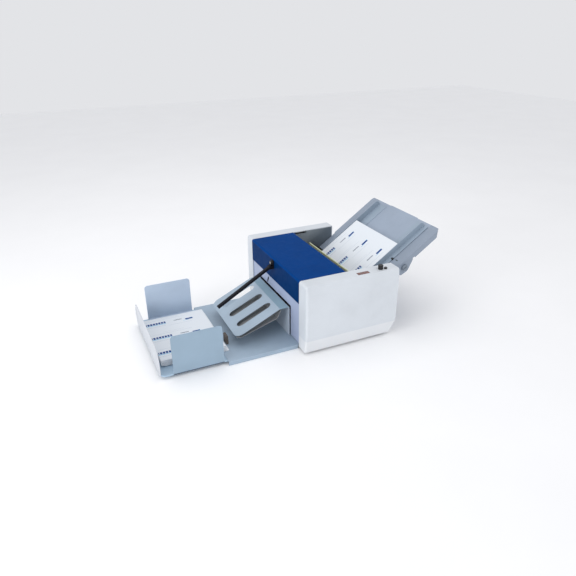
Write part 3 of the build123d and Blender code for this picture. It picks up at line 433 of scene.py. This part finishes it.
def printed_paper(name):
    """Office paper with generic forms, three to a sheet: rules, rows of bars and an ink blot."""
    look = Look(name, Specular_IOR_Level=0.25)
    place = look.axes()
    wobble = look.math("MULTIPLY", look.noise(260, detail=2), WOBBLE)
    down = look.math("SUBTRACT", wobble, place[X])
    shifted = look.math("SUBTRACT", place[Y], FORM_OFFSET)
    across = look.math("WRAP", shifted, FORM_PITCH / 2, -FORM_PITCH / 2)
    fibre = look.noise(700, detail=5, rough=0.7)
    tone = look.between(fibre, PAPER_DARK, PAPER_LIGHT)
    for x0, x1, y0, y1, ink, letter in PRINT_MARKS:
        inside_x = look.math("COMPARE", down, (x0 + x1) / 2 * MM, (x1 - x0) / 2 * MM)
        inside_y = look.math("COMPARE", across, (y0 + y1) / 2 * MM, (y1 - y0) / 2 * MM)
        inside = look.math("MULTIPLY", inside_x, inside_y)
        if letter:
            step = look.math("FRACT", look.math("DIVIDE", down, letter * MM))
            inside = look.math("MULTIPLY", inside, look.math("GREATER_THAN", step, LETTER_GAP))
        tone = look.mix(inside, tone, ink)
    look.bump((fibre, 0.12, 0.08))
    return look.finish(tone, look.remap(look.noise(500), 0.75, 0.92))


# ---------------------------------------------------------------- materials of the CAD nodes
white_plastic = moulded_plastic("cover_plastic", COVER_WHITE, bands=[LIT_COVER_FOOT_BAND])
black_plastic = moulded_plastic("black_plastic", PLASTIC_BLACK, 0.38)
arm_plastic = moulded_plastic("arm_plastic", ARM_BLACK, 0.50, 0.18)
grey_plastic = moulded_plastic("grey_plastic", KNOB_GREY, 0.45)
nylon = moulded_plastic("gear_nylon", NYLON_IVORY, 0.40)
cream_plastic = moulded_plastic("cream_plastic", CREAM, 0.45)
steel = brushed("drawn_steel", STEEL, along=(1, 0.03, 1))
plate_steel = brushed("plate_steel", PLATE_STEEL, 0.40)
aluminium = brushed("turned_aluminium", ALUMINIUM, 0.25, along=(1, 0.9, 0.03))
plated = zinc("zinc_plate")
black_rubber = rubber("black_rubber", RUBBER_BLACK)

LOOKS = {
    white_plastic: ("near_side_cover", "far_side_cover"),
    enamel("lid_enamel", LID_BLUE, 0.42, bands=[SHADED_LID_FRONT_BAND]): ("top_cover",),
    powder_coat("panel_paint", PANEL_LAVENDER): ("front_panel",),
    powder_coat("table_paint", TABLE_BLUE): ("outfeed_table", "feed_deck"),
    powder_coat("catch_paint", GUIDE_SHADOW_NAVY, bands=CATCH_STRETCHES): ("catch_tray",),
    # painted light and shade: the two side guides and the catch tray share one paint in different
    # brightnesses
    powder_coat("guide_paint", NEAR_GUIDE_SHADE_BLUE): ("near_side_guide",),
    powder_coat("far_guide_paint", FAR_GUIDE_LIGHT_BLUE): ("far_side_guide",),
    powder_coat("ramp_paint", RAMP_BLUE, bands=[SHADED_SHELF_BAND, LIT_FLANGE_BAND]): ("exit_ramp",),
    powder_coat("tray_paint", WING_GREY, bands=[TRAY_MIDDLE]): ("infeed_tray",),
    powder_coat("rear_paint", TRAY_GREY): ("rear_panel",),
    powder_coat("strip_paint", STRIP_GREY): ("near_feed_guide", "far_feed_guide"),
    powder_coat("stop_paint", STOP_PALE): ("end_stop",),
    powder_coat("brace_paint", DARK_SHEET, 0.6): ("ramp_brace",),
    cream_plastic: ("feed_bridge",),
    black_plastic: (
        "thumb_knob", "speed_knob", "push_button", "power_inlet", "switch_housing", "power_rocker",
    ),
    arm_plastic: ("hold_down_arm", "arm_bracket"),
    grey_plastic: ("near_tray_knob", "far_tray_knob"),
    nylon: ("drum_gear", "impression_gear"),
    steel: (
        "drum_shaft", "impression_shaft", "exit_shaft", "feed_shaft", "tie_rods",
        "frame_screws", "hinge_pins", "motor_pinion",
    ),
    plate_steel: ("near_frame_plate", "far_frame_plate"),
    aluminium: ("print_drum", "exit_idlers"),
    plated: ("base_plate", "power_supply", "drive_motor", "separator_holder", "tray_arms"),
    sintered_bronze("bush_bronze"): ("shaft_bushes",),
    circuit_board("board"): ("control_board",),
    tinted_window("window_acrylic"): ("display_window",),
    inked_foam("ink_foam"): ("ink_roller",),
    black_rubber: ("rubber_feet", "exit_belt", "feed_belt", "die_plate"),
    rubber("roller_rubber", RUBBER_GREY): ("impression_roller", "exit_rollers"),
    rubber("feed_rubber", RUBBER_RED, rib=0.3): ("feed_roller", "separator_pad"),
}
for material, names in LOOKS.items():
    for name in names:
        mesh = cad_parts[name].data
        mesh.materials.clear()
        mesh.materials.append(material)

SHARP = math.radians(35)        # an edge that turns more than this is rounded
SOFT_EDGED = {                  # node: width of the rounding on its sharp edges, mm
    "top_cover": 0.6, "exit_ramp": 0.4, "outfeed_table": 0.4, "catch_tray": 0.3, "end_stop": 0.4,
    "near_side_guide": 0.4, "far_side_guide": 0.4, "near_feed_guide": 0.3, "far_feed_guide": 0.3,
    "near_side_cover": 0.8, "far_side_cover": 0.8, "hold_down_arm": 0.5, "front_panel": 0.4,
}
for name, width in SOFT_EDGED.items():
    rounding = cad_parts[name].modifiers.new("soft_edge", "BEVEL")
    rounding.width = width * MM
    rounding.segments = 2
    rounding.limit_method = "ANGLE"
    rounding.angle_limit = SHARP
    rounding.use_clamp_overlap = True


# ---------------------------------------------------------------- making pieces
def place_in_scene(name, data):
    made = bpy.data.objects.new(name, data)
    bpy.context.scene.collection.objects.link(made)
    return made


def piece_from(bm, name, *materials):
    """The finished mesh as an object of the scene."""
    mesh = bpy.data.meshes.new(name)
    bm.to_mesh(mesh)
    bm.free()
    for material in materials:
        mesh.materials.append(material)
    return place_in_scene(name, mesh)


# ---------------------------------------------------------------- paper
TILT = math.radians(34.65)      # slope of the infeed tray
SHEET = 0.46 * MM               # one sheet as modelled, thick enough to show
SHEET_SHARE = 0.86              # part of the pitch that is paper; the rest parts the sheets
EDGE_SLOT, PRINT_SLOT = 0, 1    # material slots of a stack
FACES_UP = 0.9                  # a face whose normal rises more than this carries the print
paper_looks = (paper_edges("paper_edges"), printed_paper("printed_paper"))


def sheet_stack(name, length, width, thickness, seed, stray, slid=0, slide=0.0):
    """A pile of separate sheets, its top sheet's upper edge along local Y at x = z = 0.

    All but the top sheet stray a little. The lowest few (slid) lie further along X by the slide.
    """
    rng = random.Random(seed)
    count = round(thickness / SHEET)
    pitch = thickness / count
    size = (length - 2 * stray, width - 2 * stray, pitch * SHEET_SHARE)
    bm = bmesh.new()
    for index in range(count):
        drift = 0 if index == 0 else 1
        dx = rng.uniform(-stray, 0) * drift + (slide if index >= count - slid else 0)
        dy = rng.uniform(-stray, stray) * drift
        made = bmesh.ops.create_cube(bm, size=1)
        bmesh.ops.scale(bm, vec=size, verts=made["verts"])
        centre = Vector((-length / 2 + dx + stray * drift, dy, -index * pitch - pitch / 2))
        bmesh.ops.translate(bm, vec=centre, verts=made["verts"])
    for face in bm.faces:
        face.material_index = PRINT_SLOT if face.normal.z > FACES_UP else EDGE_SLOT
    return piece_from(bm, name, *paper_looks)


STACK_LENGTH, STACK_WIDTH = 216 * MM, 279.4 * MM
FEED_THICK = 18.4 * MM
feed_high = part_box("infeed_stack")[1]
feed_sheets = sheet_stack("infeed_sheets", STACK_LENGTH, STACK_WIDTH, FEED_THICK, 3, 0.5 * MM)
feed_edge = Vector((feed_high.x - math.sin(TILT) * FEED_THICK, 0, feed_high.z))
slope = Matrix.Rotation(-TILT, 4, "Y")
feed_sheets.matrix_world = Matrix.Translation(feed_edge) @ slope
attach(feed_sheets, "infeed")
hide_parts("infeed_stack")

STACK_CLEARANCE = 2.0 * MM      # keeps the lowest catch sheet off the tray
SLID_SHEETS = 7                 # the lowest sheets of the catch stack have slid on
catch_low, catch_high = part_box("catch_stack")
catch_thick = catch_high.z - catch_low.z - STACK_CLEARANCE
catch_slide = catch_high.x - catch_low.x - STACK_LENGTH
catch_sheets = sheet_stack(
    "catch_sheets", STACK_LENGTH, STACK_WIDTH, catch_thick, 8, 1.2 * MM, SLID_SHEETS, catch_slide,
)
catch_sheets.matrix_world = Matrix.Translation((catch_high.x - catch_slide, 0, catch_high.z))
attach(catch_sheets, "catch")
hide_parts("catch_stack")


# ---------------------------------------------------------------- small fittings
SOFTENING = 0.2                 # edge rounding as a part of a fitting's thickness
DISC_SIDES = 28


def fitting(name, profile, thickness, material, place, body, rounding=None):
    """A piece cut to profile, its face up at z = 0 of place, edges softened; sizes in mm."""
    bm = bmesh.new()
    face = bm.faces.new([bm.verts.new((x * MM, y * MM, 0)) for x, y in profile])
    if face.normal.z < 0:
        face.normal_flip()
    made = bmesh.ops.extrude_face_region(bm, geom=[face])
    lower = [item for item in made["geom"] if isinstance(item, bmesh.types.BMVert)]
    bmesh.ops.translate(bm, vec=(0, 0, -thickness * MM), verts=lower)
    bmesh.ops.recalc_face_normals(bm, faces=bm.faces)
    soft = (rounding or thickness * SOFTENING) * MM
    bmesh.ops.bevel(bm, geom=bm.edges[:], offset=soft, segments=2, affect="EDGES")
    piece = piece_from(bm, name, material)
    piece.matrix_world = place
    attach(piece, body)


def disc(radius):
    steps = (2 * math.pi * index / DISC_SIDES for index in range(DISC_SIDES))
    return [(radius * math.cos(step), radius * math.sin(step)) for step in steps]


def oblong(half_x, half_y):
    return [(x * half_x, y * half_y) for x, y in ((-1, -1), (1, -1), (1, 1), (-1, 1))]


def on_slope(x, y, z):
    """A place square to the infeed tray, in mm from the upper edge of its top sheet."""
    return Matrix.Translation(feed_edge + slope @ (Vector((x, y, z)) * MM)) @ slope


LAMP_PLACE = (278, -222.5, 0.5)         # mm: from the cover's front, the middle and its top
cover_low, cover_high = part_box("near_side_cover")
lamp_x, lamp_y, lamp_z = (value * MM for value in LAMP_PLACE)
lamp_plastic = moulded_plastic("lamp_plastic", LAMP_GREY, 0.3)
lamp_at = Matrix.Translation((cover_low.x + lamp_x, lamp_y, cover_high.z + lamp_z))
fitting("ready_lamp", disc(1.9), 2.0, lamp_plastic, lamp_at, "frame")

POINTER_PLACE = (-52, -158, -16.2)      # mm on the slope, as the scale mark's place below
POINTER_SHAPE = ((-5, -6), (5, -6), (4, 1), (0, 6), (-4, 1))
fitting(
    "guide_pointer", POINTER_SHAPE, 2.2, black_plastic, on_slope(*POINTER_PLACE),
    "near_infeed_guide",
)

MARK_PLACE = (-48, -178, -20.3)
mark_plastic = moulded_plastic("mark_plastic", MARK_DARK, 0.5)
fitting("scale_mark", oblong(1.6, 5.6), 1.2, mark_plastic, on_slope(*MARK_PLACE), "infeed")

CAP_PROUD = 0.4 * MM                    # how far the cap stands out of the knob
thumb_low, thumb_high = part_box("thumb_knob")
thumb_middle = (thumb_low + thumb_high) / 2
thumb_face = Matrix.Translation((thumb_low.x - CAP_PROUD, thumb_middle.y, thumb_middle.z))
outward = Matrix.Rotation(math.radians(-90), 4, "Y")
fitting("thumb_cap", disc(3.4), 1.4, steel, thumb_face @ outward, "arm_screw")

BLOCK_HEIGHT = 31                       # mm; it stands on the outfeed table
BLOCK_X, BLOCK_Y = 30.3 * MM, -85 * MM  # from the table's front edge, from the middle
table_low, table_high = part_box("outfeed_table")
block_rubber = rubber("block_rubber", BLOCK_BROWN)
block_at = Matrix.Translation((table_low.x + BLOCK_X, BLOCK_Y, table_high.z + BLOCK_HEIGHT * MM))
fitting("sheet_block", oblong(4.2, 15), BLOCK_HEIGHT, block_rubber, block_at, "frame", 1.2)

# ---------------------------------------------------------------- floor
FLOOR_HALF = 6                  # metres
FLOOR_DIVISIONS = 24
FLOOR_GAP = 0.2 * MM            # keeps the floor just under the feet
floor_look = Look("floor_paint")
floor_paint = floor_look.finish(
    floor_look.between(floor_look.noise(3), FLOOR_DARK, FLOOR_LIGHT),
    floor_look.remap(floor_look.noise(40), 0.6, 0.8),
)
floor_bm = bmesh.new()
bmesh.ops.create_grid(
    floor_bm, x_segments=FLOOR_DIVISIONS, y_segments=FLOOR_DIVISIONS, size=FLOOR_HALF,
)
floor = piece_from(floor_bm, "floor", floor_paint)
floor.location = (0, 0, cad_low.z - FLOOR_GAP)

# ---------------------------------------------------------------- light
LIGHTS = (                      # name, place and target in metres, size, watts, colour
    ("overhead", (0.0, 0.3, 2.4), (0, 0, 0.1), (2.2, 2.2), 14, (1.0, 0.99, 0.98)),
    ("left", (-2.5, -0.9, 0.9), (0, 0, 0.15), (1.4, 1.2), 23, (0.98, 0.99, 1.0)),
    ("front_low", (0.3, -2.4, 0.18), (0.1, 0, 0.10), (2.2, 0.3), 6, (1, 1, 1)),
)
for name, place, target, size, power, colour in LIGHTS:
    light = bpy.data.lights.new(name, "AREA")
    light.shape = "RECTANGLE"
    light.size, light.size_y = size
    light.energy = power
    light.color = colour
    lamp = place_in_scene(name, light)
    lamp.location = place
    lamp.rotation_mode = "QUATERNION"
    lamp.rotation_quaternion = (Vector(target) - Vector(place)).to_track_quat("-Z", "Y")

world = bpy.data.worlds.new("studio")
bpy.context.scene.world = world
world.use_nodes = True
background = world.node_tree.nodes["Background"]
background.inputs["Color"].default_value = (0.96, 0.97, 1.0, 1)
background.inputs["Strength"].default_value = 0.80
bpy.context.scene.view_settings.view_transform = "Standard"

# ---------------------------------------------------------------- camera, solved from the photo
CAMERA_AT = Vector((-0.71371, -1.59831, 0.98921))
AZIMUTH, ELEVATION, ROLL = map(math.radians, (-24.54, 26.22, -0.37))
SENSOR_WIDTH, FOCAL_LENGTH = 36, 33.86      # mm
camera_data = bpy.data.cameras.new("camera")
camera_data.sensor_width = SENSOR_WIDTH
camera_data.lens = FOCAL_LENGTH
camera = place_in_scene("camera", camera_data)
back = Vector((
    math.sin(AZIMUTH) * math.cos(ELEVATION),
    -math.cos(AZIMUTH) * math.cos(ELEVATION),
    math.sin(ELEVATION),
))
level = Vector((math.cos(AZIMUTH), math.sin(AZIMUTH), 0))
upright = back.cross(level)
right = math.cos(ROLL) * level + math.sin(ROLL) * upright
up = -math.sin(ROLL) * level + math.cos(ROLL) * upright
turn = Matrix((right, up, back)).transposed().to_4x4()
camera.matrix_world = Matrix.Translation(CAMERA_AT) @ turn
bpy.context.scene.camera = camera
